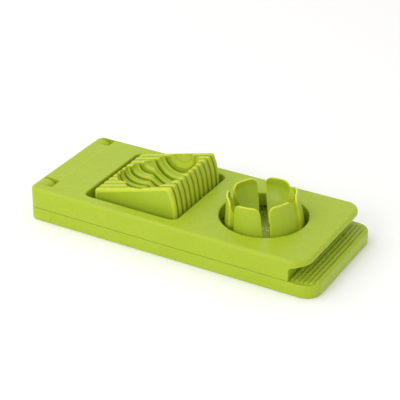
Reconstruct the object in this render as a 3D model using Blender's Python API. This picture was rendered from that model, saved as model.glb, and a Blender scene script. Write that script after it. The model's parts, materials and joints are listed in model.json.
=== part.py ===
"""Egg slicer and wedger: a base with a ribbed cradle and a six-finger cup,
and a hinged lid that carries ten slicing wires and three wedging wires.

Units are metres. X runs from the hinge (-X) to the handle end (+X), Z is up,
and the origin is at the middle of the base's underside. Lengths whose names
start with FROM_HINGE are counted along X from the base's hinge end.
"""

import math

import bpy
import bmesh
from mathutils import Matrix, Vector

# Base tray
BASE_LENGTH = 0.2164
BASE_WIDTH = 0.0908
BASE_HEIGHT = 0.0092
BASE_HINGE_RADIUS = 0.0060
BASE_HANDLE_RADIUS = 0.0110
BASE_WALL = 0.0024
DECK_THICKNESS = 0.0022
UNDER_RIB = 0.0016
UNDER_RIB_CLEARANCE = 0.0010
UNDER_RIB_COLUMNS = 3
UNDER_RIB_Y = 0.0194
RIDGE_COUNT = 5
RIDGE_FIRST = 0.1983
RIDGE_PITCH = 0.0031
RIDGE_WIDTH = 0.0024
RIDGE_HEIGHT = 0.0009
RIDGE_HALF_LENGTH = 0.0410

# Lid frame
LID_TOP = 0.0241
LID_BOTTOM = 0.0095
LID_WIDTH = 0.0900
LID_PLATE = 0.0024
LID_WALL = 0.0023
LID_HINGE_RADIUS = 0.0056
LID_LIP_RADIUS = 0.0130
LIP_END = 0.2107
LIP_THICKNESS = 0.0035
LID_WALL_END_TOP = 0.2013
LID_WALL_END_BOTTOM = 0.1980
LID_HOLLOW_START = 0.0169
CROSS_WALL_START = 0.1949
CROSS_WALL_END = 0.1967
MIDDLE_RIB_X = 0.1187
MIDDLE_RIB = 0.0014
STRIP_POCKET = (0.0022, 0.0124)
STRIP_WEBS = (-0.0070, 0.0120)
STRIP_WEB = 0.0020
RIM_WALL = 0.0020

# Hinge: the axis runs along Y
AXIS_FROM_HINGE = 0.0040
AXIS_Z = 0.0134
LID_CORNER_RADIUS = 0.0040
LUG_RADIUS = 0.0103
LUG_TOP = 0.0237
LUG_GAP = 0.0004
LUG_FOOT = 0.0080
NOTCH_DEPTH = 0.0146
NOTCH_SPANS = ((-0.0380, -0.0268), (0.0334, 0.0429))
PIN_RADIUS = 0.00125
PIN_SPAN = (-0.0432, 0.0449)

# Openings in the lid
SLICER_OPENING = (0.0388, 0.1103)
SLICER_OPENING_HALF = 0.0357
SLICER_OPENING_RADIUS = 0.0050
WEDGER_CENTRE = 0.1578
WEDGER_OPENING_RADIUS = 0.0302

# Slicer cradle
RIB_COUNT = 11
RIB_PITCH = 0.00572
SLOT_WIDTH = 0.0019
SLOT_FLOOR = 0.0110
CRADLE_LEFT = 0.0443
CRADLE_SWEEP_RADIUS = 0.1054
CRADLE_TOP_LEFT = 0.0270
CRADLE_TOP_RIGHT = 0.0433
CRADLE_TOP_END = 0.1051
CRADLE_HALF_TOP = 0.0305
CRADLE_DRAFT = 0.130
CRADLE_BOTTOM = 0.0095
ACROSS_EGG = {"centre": 0.0797, "half": (0.0199, 0.0312, 0.0174), "squareness": 2.4}
ALONG_EGG = {"centre": 0.0748, "half": (0.0276, 0.0212, 0.0114), "squareness": 3.2}

# Wedger cup
FINGER_COUNT = 6
FINGER_GAP = 0.0057
FINGER_THICKNESS = 0.0022
FINGER_RADIUS = 0.0260
FINGER_DRAFT = 0.15
FINGER_TOP = 0.0403
FINGER_TOP_SLOPE = 0.17
FINGER_CORNER = 0.0035
CUP_BOTTOM = 0.0095
CUP_FOOT_TOP = 0.0113
CUP_FLOOR = 0.0117
CUP_FOOT_RADIUS = 0.0282
DISH_LOWEST = 0.0152
DISH_RADIUS = 0.0600
DISH_SLOT = 0.0024

# Wires and the frames that clamp them
WIRE_RADIUS = 0.0002
WIRE_LEVEL = 0.01245
WIRE_STEP = 0.0007
SLICER_WIRE_OVERHANG = 0.0042
WEDGE_WIRE_HALF = 0.0335
FRAME_BOTTOM = 0.0098
FRAME_TOP = 0.0120
FRAME_MARGIN = 0.0060
SLICER_RIM_BOTTOM = 0.01295
WEDGER_RIM_BOTTOM = 0.01435
WEDGER_FRAME_WIDTH = 0.0064
WIRE_POST_RADIUS = 0.0016
WIRE_POST_AT = 0.0322

# Screws
SHANK_RADIUS = 0.0010
SCREW_GAP = 0.0003
HEAD_RADIUS = 0.0019
HEAD_HEIGHT = 0.0011
BOSS_RADIUS = 0.0029
FRAME_SCREW_LENGTH = 0.0085
BASE_SCREW_LENGTH = 0.0086
BASE_BOSS_BOTTOM = 0.0046
CRADLE_SCREWS = [(x, side * 0.0302) for x in (0.0520, 0.1000) for side in (-1, 1)]
CUP_SCREW_RADIUS = 0.0150
CUP_SCREW_ANGLES = (90, 210, 330)
SLICER_FRAME_SCREW_INSET = 0.0030
WEDGER_FRAME_SCREW_RADIUS = 0.0338
WEDGER_FRAME_SCREW_ANGLES = (45, 135, 225, 315)

REACH = 0.0010
LIME = (0.49, 0.60, 0.045, 1.0)
STEEL = (0.62, 0.62, 0.63, 1.0)


def along(from_hinge):
    """World X of a length counted from the hinge end."""
    return from_hinge - BASE_LENGTH / 2


AXIS = Vector((along(AXIS_FROM_HINGE), 0.0, AXIS_Z))
WEDGER_X = along(WEDGER_CENTRE)


# Materials

def make_material(name, colour, roughness, metallic):
    material = bpy.data.materials.new(name)
    material.use_nodes = True
    shader = material.node_tree.nodes["Principled BSDF"]
    shader.inputs["Base Color"].default_value = colour
    shader.inputs["Roughness"].default_value = roughness
    shader.inputs["Metallic"].default_value = metallic
    return material


# Shapes

def add_object(name, bm, material=None):
    """Turn a bmesh into an object with its faces pointing out."""
    bmesh.ops.remove_doubles(bm, verts=bm.verts, dist=1e-7)
    bmesh.ops.recalc_face_normals(bm, faces=bm.faces)
    mesh = bpy.data.meshes.new(name)
    bm.to_mesh(mesh)
    bm.free()
    piece = bpy.data.objects.new(name, mesh)
    bpy.context.scene.collection.objects.link(piece)
    if material:
        mesh.materials.append(material)
    return piece


def arc(centre, radius, start, end, steps):
    """Points on an arc, with its angles in degrees."""
    angles = [math.radians(start + (end - start) * i / steps) for i in range(steps + 1)]
    return [(centre[0] + radius * math.cos(a), centre[1] + radius * math.sin(a)) for a in angles]


def rounded_rectangle(low, high, low_radius, high_radius, steps=6):
    """Outline with one corner radius at the low X end and one at the high."""
    corners = (
        ((high[0] - high_radius, high[1] - high_radius), high_radius, 0),
        ((low[0] + low_radius, high[1] - low_radius), low_radius, 90),
        ((low[0] + low_radius, low[1] + low_radius), low_radius, 180),
        ((high[0] - high_radius, low[1] + high_radius), high_radius, 270),
    )
    points = []
    for centre, radius, start in corners:
        points += arc(centre, radius, start, start + 90, steps)
    return points


def swept_outline(name, points, direction, material=None):
    """Solid made by moving a flat outline of 3D points along a direction."""
    bm = bmesh.new()
    face = bm.faces.new([bm.verts.new(point) for point in points])
    swept = bmesh.ops.extrude_face_region(bm, geom=[face])["geom"]
    moved = [item for item in swept if isinstance(item, bmesh.types.BMVert)]
    bmesh.ops.translate(bm, vec=direction, verts=moved)
    return add_object(name, bm, material)


def plate(name, outline, bottom, top, material=None):
    """Solid with an XY outline between two heights."""
    points = [(x, y, bottom) for x, y in outline]
    return swept_outline(name, points, (0, 0, top - bottom), material)


def side_profile(name, outline, low_y, high_y, material=None):
    """Solid with an XZ outline between two Y positions."""
    points = [(x, low_y, z) for x, z in outline]
    return swept_outline(name, points, (0, high_y - low_y, 0), material)


def block(name, low, high):
    outline = [(low[0], low[1]), (high[0], low[1]), (high[0], high[1]), (low[0], high[1])]
    return plate(name, outline, low[2], high[2])


def rod(name, radius, start, end, sides, material=None):
    """Round bar between two points."""
    start, end = Vector(start), Vector(end)
    turn = (end - start).to_track_quat("Z", "Y").to_matrix().to_4x4()
    bm = bmesh.new()
    bmesh.ops.create_cone(
        bm, cap_ends=True, segments=sides, radius1=radius, radius2=radius,
        depth=(end - start).length, matrix=Matrix.Translation((start + end) / 2) @ turn)
    return add_object(name, bm, material)


def turned(name, profile, centre, sides, material=None):
    """Solid of revolution about Z from (radius, height) points that start and end on the axis."""
    bm = bmesh.new()
    verts = [bm.verts.new((centre[0] + r, centre[1], centre[2] + z)) for r, z in profile]
    edges = [bm.edges.new(pair) for pair in zip(verts, verts[1:])]
    bmesh.ops.spin(
        bm, geom=verts + edges, cent=centre, axis=(0, 0, 1), steps=sides,
        angle=math.tau, use_merge=True)
    return add_object(name, bm, material)


def join(pieces, kind, target):
    """Add a live Boolean to the target for each piece."""
    for piece in pieces:
        piece.hide_render = True
        piece.display_type = "WIRE"
        modifier = target.modifiers.new(piece.name, "BOOLEAN")
        modifier.operation = kind
        modifier.solver = "EXACT"
        modifier.object = piece
    return target


def cut(target, *pieces):
    return join(pieces, "DIFFERENCE", target)


def unite(target, *pieces):
    return join(pieces, "UNION", target)


def soften(piece, width, keep):
    """Bevel the mesh edges that the test keeps."""
    bm = bmesh.new()
    bm.from_mesh(piece.data)
    edges = [edge for edge in bm.edges if keep(*(vert.co for vert in edge.verts))]
    bmesh.ops.bevel(bm, geom=edges, offset=width, segments=2, profile=0.5, affect="EDGES")
    bm.to_mesh(piece.data)
    bm.free()


def shade(piece):
    piece.data.shade_smooth()
    piece.data.set_sharp_from_angle(angle=math.radians(35))


# Base tray

def hinge_lug(index, span):
    """Lug with a flat top that rounds down about the hinge axis."""
    left = along(LUG_GAP)
    centre = (AXIS.x, AXIS.z)
    flat_angle = math.degrees(math.asin((LUG_TOP - AXIS_Z) / LUG_RADIUS))
    right = arc(centre, LUG_RADIUS, 0, min(flat_angle, 90), 10)
    outline = [(left, LUG_FOOT), (AXIS.x + LUG_RADIUS, LUG_FOOT)] + right + [(left, LUG_TOP)]
    return side_profile(f"lug_{index}", outline, span[0] + LUG_GAP, span[1] - LUG_GAP)


def grip_ridge(index):
    """Low round ridge across the handle end."""
    centre_x = along(RIDGE_FIRST + index * RIDGE_PITCH)
    radius = (RIDGE_WIDTH ** 2 / 4 + RIDGE_HEIGHT ** 2) / (2 * RIDGE_HEIGHT)
    half_angle = math.degrees(math.asin(RIDGE_WIDTH / 2 / radius))
    centre = (centre_x, BASE_HEIGHT + RIDGE_HEIGHT - radius)
    crest = arc(centre, radius, 90 - half_angle, 90 + half_angle, 6)
    root = BASE_HEIGHT - REACH / 2
    outline = crest + [(centre_x - RIDGE_WIDTH / 2, root), (centre_x + RIDGE_WIDTH / 2, root)]
    return side_profile(f"ridge_{index}", outline, -RIDGE_HALF_LENGTH, RIDGE_HALF_LENGTH)


def cup_screw_points():
    return [
        (WEDGER_CENTRE + CUP_SCREW_RADIUS * math.cos(math.radians(angle)),
         CUP_SCREW_RADIUS * math.sin(math.radians(angle)))
        for angle in CUP_SCREW_ANGLES]


def under_hollow(ceiling):
    """Everything that is scooped out from below the deck."""
    half = BASE_LENGTH / 2 - BASE_WALL
    width = BASE_WIDTH / 2 - BASE_WALL
    outline = rounded_rectangle(
        (-half, -width), (half, width),
        BASE_HINGE_RADIUS - BASE_WALL, BASE_HANDLE_RADIUS - BASE_WALL)
    hollow = plate("under_hollow", outline, -REACH, ceiling)
    low, high = UNDER_RIB_CLEARANCE, ceiling + REACH
    for side in (-1, 1):
        y = side * UNDER_RIB_Y
        rib = block(f"long_rib_{side}", (-half - REACH, y - UNDER_RIB / 2, low),
                    (half + REACH, y + UNDER_RIB / 2, high))
        cut(hollow, rib)
    for column in range(UNDER_RIB_COLUMNS):
        x = -half + 2 * half * (column + 1) / (UNDER_RIB_COLUMNS + 1)
        rib = block(f"cross_rib_{column}", (x - UNDER_RIB / 2, -width - REACH, low),
                    (x + UNDER_RIB / 2, width + REACH, high))
        cut(hollow, rib)
    for index, (from_hinge, y) in enumerate(CRADLE_SCREWS + cup_screw_points()):
        boss = rod(f"base_boss_{index}", BOSS_RADIUS, (along(from_hinge), y, BASE_BOSS_BOTTOM),
                   (along(from_hinge), y, high), 12)
        cut(hollow, boss)
    return hollow


def base_tray(material):
    half = BASE_LENGTH / 2
    outline = rounded_rectangle(
        (-half, -BASE_WIDTH / 2), (half, BASE_WIDTH / 2), BASE_HINGE_RADIUS, BASE_HANDLE_RADIUS)
    tray = plate("base_tray", outline, 0, BASE_HEIGHT, material)
    soften(tray, 0.0006, lambda a, b: abs(a.z - b.z) < REACH / 10)
    cut(tray, under_hollow(BASE_HEIGHT - DECK_THICKNESS))
    unite(tray, *[hinge_lug(i, span) for i, span in enumerate(NOTCH_SPANS)])
    unite(tray, *[grip_ridge(i) for i in range(RIDGE_COUNT)])
    for index, (from_hinge, y) in enumerate(CRADLE_SCREWS + cup_screw_points()):
        x = along(from_hinge)
        cut(tray, rod(f"base_hole_{index}", SHANK_RADIUS + SCREW_GAP,
                      (x, y, BASE_BOSS_BOTTOM - REACH), (x, y, BASE_HEIGHT + REACH), 12))
    cut(tray, pin_hole("base_pin_hole"))
    shade(tray)
    return tray


# Hinge

def pin_hole(name):
    start = (AXIS.x, PIN_SPAN[0] - SCREW_GAP, AXIS.z)
    end = (AXIS.x, LID_WIDTH / 2 + REACH, AXIS.z)
    return rod(name, PIN_RADIUS + SCREW_GAP, start, end, 16)


def hinge_pin(material):
    start = (AXIS.x, PIN_SPAN[0], AXIS.z)
    end = (AXIS.x, PIN_SPAN[1], AXIS.z)
    pin = rod("hinge_pin", PIN_RADIUS, start, end, 16, material)
    shade(pin)
    return pin


# Slicer cradle

def egg_hollow(name, egg):
    """Egg-shaped cutter whose middle lies in the cradle's sloping top."""
    slope = (CRADLE_TOP_RIGHT - CRADLE_TOP_LEFT) / (CRADLE_TOP_END - CRADLE_LEFT)
    height = CRADLE_TOP_LEFT + slope * (egg["centre"] - CRADLE_LEFT)
    power = egg["squareness"]
    bm = bmesh.new()
    bmesh.ops.create_uvsphere(bm, u_segments=32, v_segments=14, radius=1)
    for vert in bm.verts:
        norm = sum(abs(part) ** power for part in vert.co) ** (1 / power)
        vert.co /= norm
    bmesh.ops.scale(bm, vec=egg["half"], verts=bm.verts)
    bmesh.ops.rotate(
        bm, cent=(0, 0, 0), matrix=Matrix.Rotation(-math.atan(slope), 3, "Y"), verts=bm.verts)
    bmesh.ops.translate(bm, vec=(along(egg["centre"]), 0, height), verts=bm.verts)
    return add_object(name, bm)


def slicer_cradle(material):
    """Block with a sloping top and an end that follows the lid's sweep."""
    centre = (AXIS.x, AXIS.z)
    low = math.degrees(math.asin((CRADLE_BOTTOM - AXIS_Z) / CRADLE_SWEEP_RADIUS))
    high = math.degrees(math.asin((CRADLE_TOP_RIGHT - AXIS_Z) / CRADLE_SWEEP_RADIUS))
    outline = [(along(CRADLE_LEFT), CRADLE_BOTTOM)]
    outline += arc(centre, CRADLE_SWEEP_RADIUS, low, high, 5)
    outline += [(along(CRADLE_LEFT), CRADLE_TOP_LEFT)]
    cradle = side_profile("slicer_cradle", outline, -1, 1, material)
    for vert in cradle.data.vertices:
        drop = CRADLE_TOP_RIGHT - vert.co.z
        vert.co.y = math.copysign(CRADLE_HALF_TOP + CRADLE_DRAFT * min(drop, 0.0195), vert.co.y)
    cut(cradle, egg_hollow("across_egg", ACROSS_EGG), egg_hollow("along_egg", ALONG_EGG))
    for index in range(RIB_COUNT - 1):
        y = (index - (RIB_COUNT - 2) / 2) * RIB_PITCH
        low_corner = (along(CRADLE_LEFT) - REACH, y - SLOT_WIDTH / 2, SLOT_FLOOR)
        high_corner = (along(SLICER_OPENING[1]) + REACH, y + SLOT_WIDTH / 2, CRADLE_TOP_RIGHT + REACH)
        cut(cradle, block(f"wire_slot_{index}", low_corner, high_corner))
    for index, (from_hinge, y) in enumerate(CRADLE_SCREWS):
        cut(cradle, pilot_hole(f"cradle_pilot_{index}", (along(from_hinge), y)))
    shade(cradle)
    return cradle


# Wedger cup

def ring_centre(z):
    """X of the finger ring's centre: it leans along the arc that the wires swing on."""
    radius = WEDGER_CENTRE - AXIS_FROM_HINGE
    return WEDGER_X + radius * (math.cos(math.asin((z - AXIS_Z) / radius)) - 1)


def ring_radius(z):
    return FINGER_RADIUS - FINGER_DRAFT * (z - LID_TOP)


def finger(index):
    """Curved tapering wall between two wire gaps, with rounded top corners."""
    middle = math.radians(360 / FINGER_COUNT * (index + 0.5))
    bm = bmesh.new()
    bmesh.ops.create_grid(bm, x_segments=10, y_segments=5, size=1)
    inner = bmesh.ops.extrude_face_region(bm, geom=bm.faces[:])["geom"]
    for vert in (item for item in inner if isinstance(item, bmesh.types.BMVert)):
        vert.co.z = 1
    for vert in bm.verts:
        across = math.sin(vert.co.x * math.pi / 2)
        up, depth = (vert.co.y + 1) / 2, vert.co.z
        half = ring_radius(FINGER_TOP) * math.pi / FINGER_COUNT - FINGER_GAP / 2
        angle = middle + across * half / ring_radius(FINGER_TOP)
        lean = ring_centre(FINGER_TOP) - WEDGER_X + FINGER_RADIUS * math.cos(angle)
        past = max(0.0, abs(across) * half - (half - FINGER_CORNER))
        corner = FINGER_CORNER - math.sqrt(max(0.0, FINGER_CORNER ** 2 - past ** 2))
        top = FINGER_TOP + FINGER_TOP_SLOPE * lean - corner
        foot = CUP_FOOT_TOP - REACH
        z = foot + up * (top - foot)
        outside = ring_radius(z)
        half = outside * math.pi / FINGER_COUNT - FINGER_GAP / 2
        angle = middle + across * half / outside
        radius = outside - depth * FINGER_THICKNESS
        vert.co = (ring_centre(z) + radius * math.cos(angle), radius * math.sin(angle), z)
    return add_object(f"finger_{index}", bm)


def dish_profile():
    """Foot, outer wall up to the dish's rim, and the dished floor."""
    points = [(0, CUP_BOTTOM), (CUP_FOOT_RADIUS, CUP_BOTTOM), (CUP_FOOT_RADIUS, CUP_FOOT_TOP),
              (FINGER_RADIUS, CUP_FOOT_TOP)]
    for step in range(4, -1, -1):
        r = FINGER_RADIUS * step / 4
        points.append((r, DISH_LOWEST + DISH_RADIUS - math.sqrt(DISH_RADIUS ** 2 - r ** 2)))
    return points


def wedger_cup(material):
    cup = turned("wedger_cup", dish_profile(), (WEDGER_X, 0, 0), 36, material)
    unite(cup, *[finger(i) for i in range(FINGER_COUNT)])
    reach = CUP_FOOT_RADIUS + REACH
    for index in range(FINGER_COUNT // 2):
        slot = block(f"dish_slot_{index}", (-reach, -DISH_SLOT / 2, CUP_FLOOR),
                     (reach, DISH_SLOT / 2, FINGER_TOP))
        turn = Matrix.Rotation(math.tau / FINGER_COUNT * index, 4, "Z")
        slot.data.transform(Matrix.Translation((WEDGER_X, 0, 0)) @ turn)
        cut(cup, slot)
    for index, (from_hinge, y) in enumerate(cup_screw_points()):
        cut(cup, pilot_hole(f"cup_pilot_{index}", (along(from_hinge), y)))
    shade(cup)
    return cup


# Lid frame

def slicer_frame_screws():
    low, high = SLICER_OPENING
    inset = SLICER_FRAME_SCREW_INSET
    return [(x, side * (SLICER_OPENING_HALF + inset))
            for x in (low - inset, high + inset) for side in (-1, 1)]


def wedger_frame_screws():
    angles = [math.radians(angle) for angle in WEDGER_FRAME_SCREW_ANGLES]
    radius = WEDGER_FRAME_SCREW_RADIUS
    return [(WEDGER_CENTRE + radius * math.cos(a), radius * math.sin(a)) for a in angles]


def slicer_window(name, margin, bottom, top, material=None):
    """Solid of the square opening, grown by a margin."""
    low = (along(SLICER_OPENING[0]) - margin, -SLICER_OPENING_HALF - margin)
    high = (along(SLICER_OPENING[1]) + margin, SLICER_OPENING_HALF + margin)
    radius = SLICER_OPENING_RADIUS + margin
    return plate(name, rounded_rectangle(low, high, radius, radius, 4), bottom, top, material)


def wedger_window(name, margin, bottom, top, material=None):
    """Solid of the round opening, grown by a margin."""
    return rod(name, WEDGER_OPENING_RADIUS + margin, (WEDGER_X, 0, bottom), (WEDGER_X, 0, top),
               48, material)


def lid_hollow():
    """Space under the top plate, round the openings' rims and the screw bosses."""
    low = (along(LID_HOLLOW_START), -LID_WIDTH / 2 + LID_WALL)
    high = (along(CROSS_WALL_START), LID_WIDTH / 2 - LID_WALL)
    ceiling = LID_TOP - LID_PLATE
    hollow = plate("lid_hollow", rounded_rectangle(low, high, 0.002, 0.002, 3),
                   LID_BOTTOM - REACH, ceiling)
    above = ceiling + REACH
    cut(hollow, slicer_window("slicer_rim", RIM_WALL, SLICER_RIM_BOTTOM, above))
    cut(hollow, wedger_window("wedger_rim", RIM_WALL, WEDGER_RIM_BOTTOM, above))
    for index, (from_hinge, y) in enumerate(slicer_frame_screws() + wedger_frame_screws()):
        x = along(from_hinge)
        cut(hollow, rod(f"lid_boss_{index}", BOSS_RADIUS, (x, y, FRAME_TOP + SCREW_GAP),
                        (x, y, above), 12))
    x = along(MIDDLE_RIB_X)
    cut(hollow, block("middle_rib", (x - MIDDLE_RIB / 2, -LID_WIDTH / 2, FRAME_TOP),
                      (x + MIDDLE_RIB / 2, LID_WIDTH / 2, above)))
    return hollow


def strip_hollow():
    """Pocket under the strip between the hinge notches, with webs round the pin."""
    low_y = NOTCH_SPANS[0][1] + LID_WALL
    high_y = NOTCH_SPANS[1][0] - LID_WALL
    ceiling = LID_TOP - LID_PLATE
    pocket = block("strip_pocket", (along(STRIP_POCKET[0]), low_y, LID_BOTTOM - REACH),
                   (along(STRIP_POCKET[1]), high_y, ceiling))
    for index, y in enumerate(STRIP_WEBS):
        web = block(f"strip_web_{index}",
                    (along(0), y - STRIP_WEB / 2, LID_BOTTOM - 2 * REACH),
                    (along(NOTCH_DEPTH), y + STRIP_WEB / 2, ceiling + REACH))
        cut(pocket, web)
    return pocket


def lid_frame(material):
    outline = rounded_rectangle(
        (along(0), -LID_WIDTH / 2), (along(LIP_END), LID_WIDTH / 2),
        LID_HINGE_RADIUS, LID_LIP_RADIUS, 8)
    lid = plate("lid_frame", outline, LID_BOTTOM, LID_TOP, material)
    soften(lid, 0.0009, lambda a, b: min(a.z, b.z) > LID_TOP - REACH / 10)
    half = LID_WIDTH / 2 + REACH
    below = LID_BOTTOM - REACH
    lip = LID_TOP - LIP_THICKNESS
    wall_end = [(along(LID_WALL_END_TOP), lip), (along(LID_WALL_END_BOTTOM), LID_BOTTOM),
                (along(LID_WALL_END_BOTTOM), below), (along(BASE_LENGTH), below),
                (along(BASE_LENGTH), lip)]
    cut(lid, side_profile("under_lip", wall_end, -half, half))
    cut(lid, block("behind_arch", (along(CROSS_WALL_END), -LID_WIDTH / 2 + LID_WALL, below),
                   (along(BASE_LENGTH), LID_WIDTH / 2 - LID_WALL, lip)))
    corner = arc((AXIS.x, AXIS.z), LID_CORNER_RADIUS, 180, 270, 8)
    corner += [(AXIS.x, below), (along(-REACH), below), (along(-REACH), AXIS.z)]
    cut(lid, side_profile("hinge_corner", corner, -half, half))
    for index, (low_y, high_y) in enumerate(NOTCH_SPANS):
        cut(lid, block(f"notch_{index}", (along(-REACH), low_y, below),
                       (along(NOTCH_DEPTH), high_y, LID_TOP + REACH)))
    cut(lid, lid_hollow(), strip_hollow())
    cut(lid, slicer_window("slicer_cut", 0, below, LID_TOP + REACH),
        wedger_window("wedger_cut", 0, below, LID_TOP + REACH))
    for index, point in enumerate(slicer_frame_screws() + wedger_frame_screws()):
        x, y = along(point[0]), point[1]
        top = FRAME_BOTTOM + FRAME_SCREW_LENGTH + REACH
        cut(lid, rod(f"lid_pilot_{index}", SHANK_RADIUS + SCREW_GAP, (x, y, below),
                     (x, y, top), 12))
    cut(lid, pin_hole("lid_pin_hole"))
    shade(lid)
    return lid


# Wires and their frames

def frame_screw_recess(name, point):
    """Counterbored hole for a screw that comes up from below."""
    centre = (along(point[0]), point[1], FRAME_BOTTOM)
    wide, narrow = HEAD_RADIUS + SCREW_GAP, SHANK_RADIUS + SCREW_GAP
    step = HEAD_HEIGHT + SCREW_GAP
    profile = [(0, -REACH), (wide, -REACH), (wide, step), (narrow, step), (narrow, 4 * REACH),
               (0, 4 * REACH)]
    return turned(name, profile, centre, 12)


def slicer_wire_frame(material):
    frame = slicer_window("slicer_wire_frame", FRAME_MARGIN, FRAME_BOTTOM, FRAME_TOP, material)
    cut(frame, slicer_window("slicer_frame_hole", 0, FRAME_BOTTOM - REACH, FRAME_TOP + REACH))
    for index, point in enumerate(slicer_frame_screws()):
        cut(frame, frame_screw_recess(f"slicer_frame_recess_{index}", point))
    shade(frame)
    return frame


def wedge_wire_angle(index):
    return math.tau / FINGER_COUNT * index


def wedger_wire_frame(material):
    """Ring with a short post under each end of the two raised wires."""
    frame = wedger_window("wedger_wire_frame", WEDGER_FRAME_WIDTH, FRAME_BOTTOM, FRAME_TOP,
                          material)
    cut(frame, wedger_window("wedger_frame_hole", 0, FRAME_BOTTOM - REACH, FRAME_TOP + REACH))
    for index in (1, 2):
        for side in (0, math.pi):
            angle = wedge_wire_angle(index) + side
            x = WEDGER_X + WIRE_POST_AT * math.cos(angle)
            y = WIRE_POST_AT * math.sin(angle)
            top = WIRE_LEVEL + index * WIRE_STEP - WIRE_RADIUS - SCREW_GAP
            unite(frame, rod(f"wire_post_{index}_{side:.0f}", WIRE_POST_RADIUS,
                             (x, y, FRAME_BOTTOM + REACH), (x, y, top), 12))
    for index, point in enumerate(wedger_frame_screws()):
        cut(frame, frame_screw_recess(f"wedger_frame_recess_{index}", point))
    shade(frame)
    return frame


def slicer_wires(material):
    low = along(SLICER_OPENING[0] - SLICER_WIRE_OVERHANG)
    high = along(SLICER_OPENING[1] + SLICER_WIRE_OVERHANG)
    for index in range(RIB_COUNT - 1):
        y = (index - (RIB_COUNT - 2) / 2) * RIB_PITCH
        wire = rod(f"slicer_wire_{index + 1:02d}", WIRE_RADIUS, (low, y, WIRE_LEVEL),
                   (high, y, WIRE_LEVEL), 8, material)
        shade(wire)


def wedge_wires(material):
    """Three wires that cross over each other at the cup's centre."""
    centre = Vector((WEDGER_X, 0, WIRE_LEVEL))
    for index in range(FINGER_COUNT // 2):
        angle = wedge_wire_angle(index)
        reach = WEDGE_WIRE_HALF * Vector((math.cos(angle), math.sin(angle), 0))
        level = centre + Vector((0, 0, index * WIRE_STEP))
        wire = rod(f"wedge_wire_{index + 1}", WIRE_RADIUS, level - reach, level + reach, 8,
                   material)
        shade(wire)


# Screws

def pilot_hole(name, point):
    """Blind hole for a base screw, open at the bottom."""
    top = BASE_BOSS_BOTTOM - HEAD_HEIGHT + BASE_SCREW_LENGTH + REACH / 2
    return rod(name, SHANK_RADIUS + SCREW_GAP, (*point, CUP_BOTTOM - REACH), (*point, top), 12)


def screw(name, point, head_bottom, length, material):
    """Pan-head self-tapping screw, head down."""
    profile = [(0, 0), (HEAD_RADIUS, 0), (HEAD_RADIUS, HEAD_HEIGHT), (SHANK_RADIUS, HEAD_HEIGHT),
               (SHANK_RADIUS, length - SHANK_RADIUS), (0, length)]
    piece = turned(name, profile, (*point, head_bottom), 10, material)
    shade(piece)


def screws(material):
    base_head = BASE_BOSS_BOTTOM - SCREW_GAP - HEAD_HEIGHT
    frame_head = FRAME_BOTTOM + SCREW_GAP / 3
    groups = (
        ("cradle_screw", CRADLE_SCREWS, base_head, BASE_SCREW_LENGTH),
        ("cup_screw", cup_screw_points(), base_head, BASE_SCREW_LENGTH),
        ("slicer_frame_screw", slicer_frame_screws(), frame_head, FRAME_SCREW_LENGTH),
        ("wedger_frame_screw", wedger_frame_screws(), frame_head, FRAME_SCREW_LENGTH),
    )
    for name, points, head, length in groups:
        for index, (from_hinge, y) in enumerate(points):
            screw(f"{name}_{index + 1}", (along(from_hinge), y), head, length, material)


def main():
    for item in list(bpy.data.objects):
        bpy.data.objects.remove(item)
    plastic = make_material("lime_plastic", LIME, 0.32, 0.0)
    steel = make_material("wire_steel", STEEL, 0.28, 1.0)
    zinc = make_material("screw_steel", STEEL, 0.40, 1.0)
    base_tray(plastic)
    hinge_pin(steel)
    slicer_cradle(plastic)
    wedger_cup(plastic)
    lid_frame(plastic)
    slicer_wire_frame(plastic)
    wedger_wire_frame(plastic)
    slicer_wires(steel)
    wedge_wires(steel)
    screws(zinc)


main()
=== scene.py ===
"""Egg slicer and wedger: the moulded surfaces, wires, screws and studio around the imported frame.

Units are metres. X runs from the hinge to the handle end, Z is up, and every piece keeps its
place in its mesh. Distances "from the hinge end" are counted along X from the base's low end.
"""

import json
import math

import bmesh
import bpy
from bpy.props import FloatProperty, FloatVectorProperty, IntProperty, PointerProperty
from mathutils import Matrix, Vector


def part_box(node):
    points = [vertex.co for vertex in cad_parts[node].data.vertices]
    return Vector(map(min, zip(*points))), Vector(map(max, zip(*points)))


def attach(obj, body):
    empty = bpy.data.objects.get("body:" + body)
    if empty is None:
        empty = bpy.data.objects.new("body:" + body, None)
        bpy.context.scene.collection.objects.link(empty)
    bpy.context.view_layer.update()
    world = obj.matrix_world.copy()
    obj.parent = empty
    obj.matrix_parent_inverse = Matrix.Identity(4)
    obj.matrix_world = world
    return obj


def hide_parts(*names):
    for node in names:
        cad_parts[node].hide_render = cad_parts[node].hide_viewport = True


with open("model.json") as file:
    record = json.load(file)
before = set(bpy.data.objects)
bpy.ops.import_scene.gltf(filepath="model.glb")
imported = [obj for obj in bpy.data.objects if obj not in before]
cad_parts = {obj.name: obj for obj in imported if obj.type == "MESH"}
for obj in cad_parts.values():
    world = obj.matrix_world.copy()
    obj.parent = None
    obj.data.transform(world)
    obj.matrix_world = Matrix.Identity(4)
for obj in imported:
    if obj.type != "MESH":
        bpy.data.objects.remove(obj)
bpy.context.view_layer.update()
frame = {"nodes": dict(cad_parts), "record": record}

bl_info = {
    "name": "Egg Slicer and Wedger",
    "version": (1, 0, 0),
    "blender": (4, 5, 0),
    "location": "3D Viewport > Sidebar > Egg Slicer",
    "description": "Builds a two-in-one egg slicer with a ribbed cradle, a fingered cup and a wired lid",
    "category": "Add Mesh",
}

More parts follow.
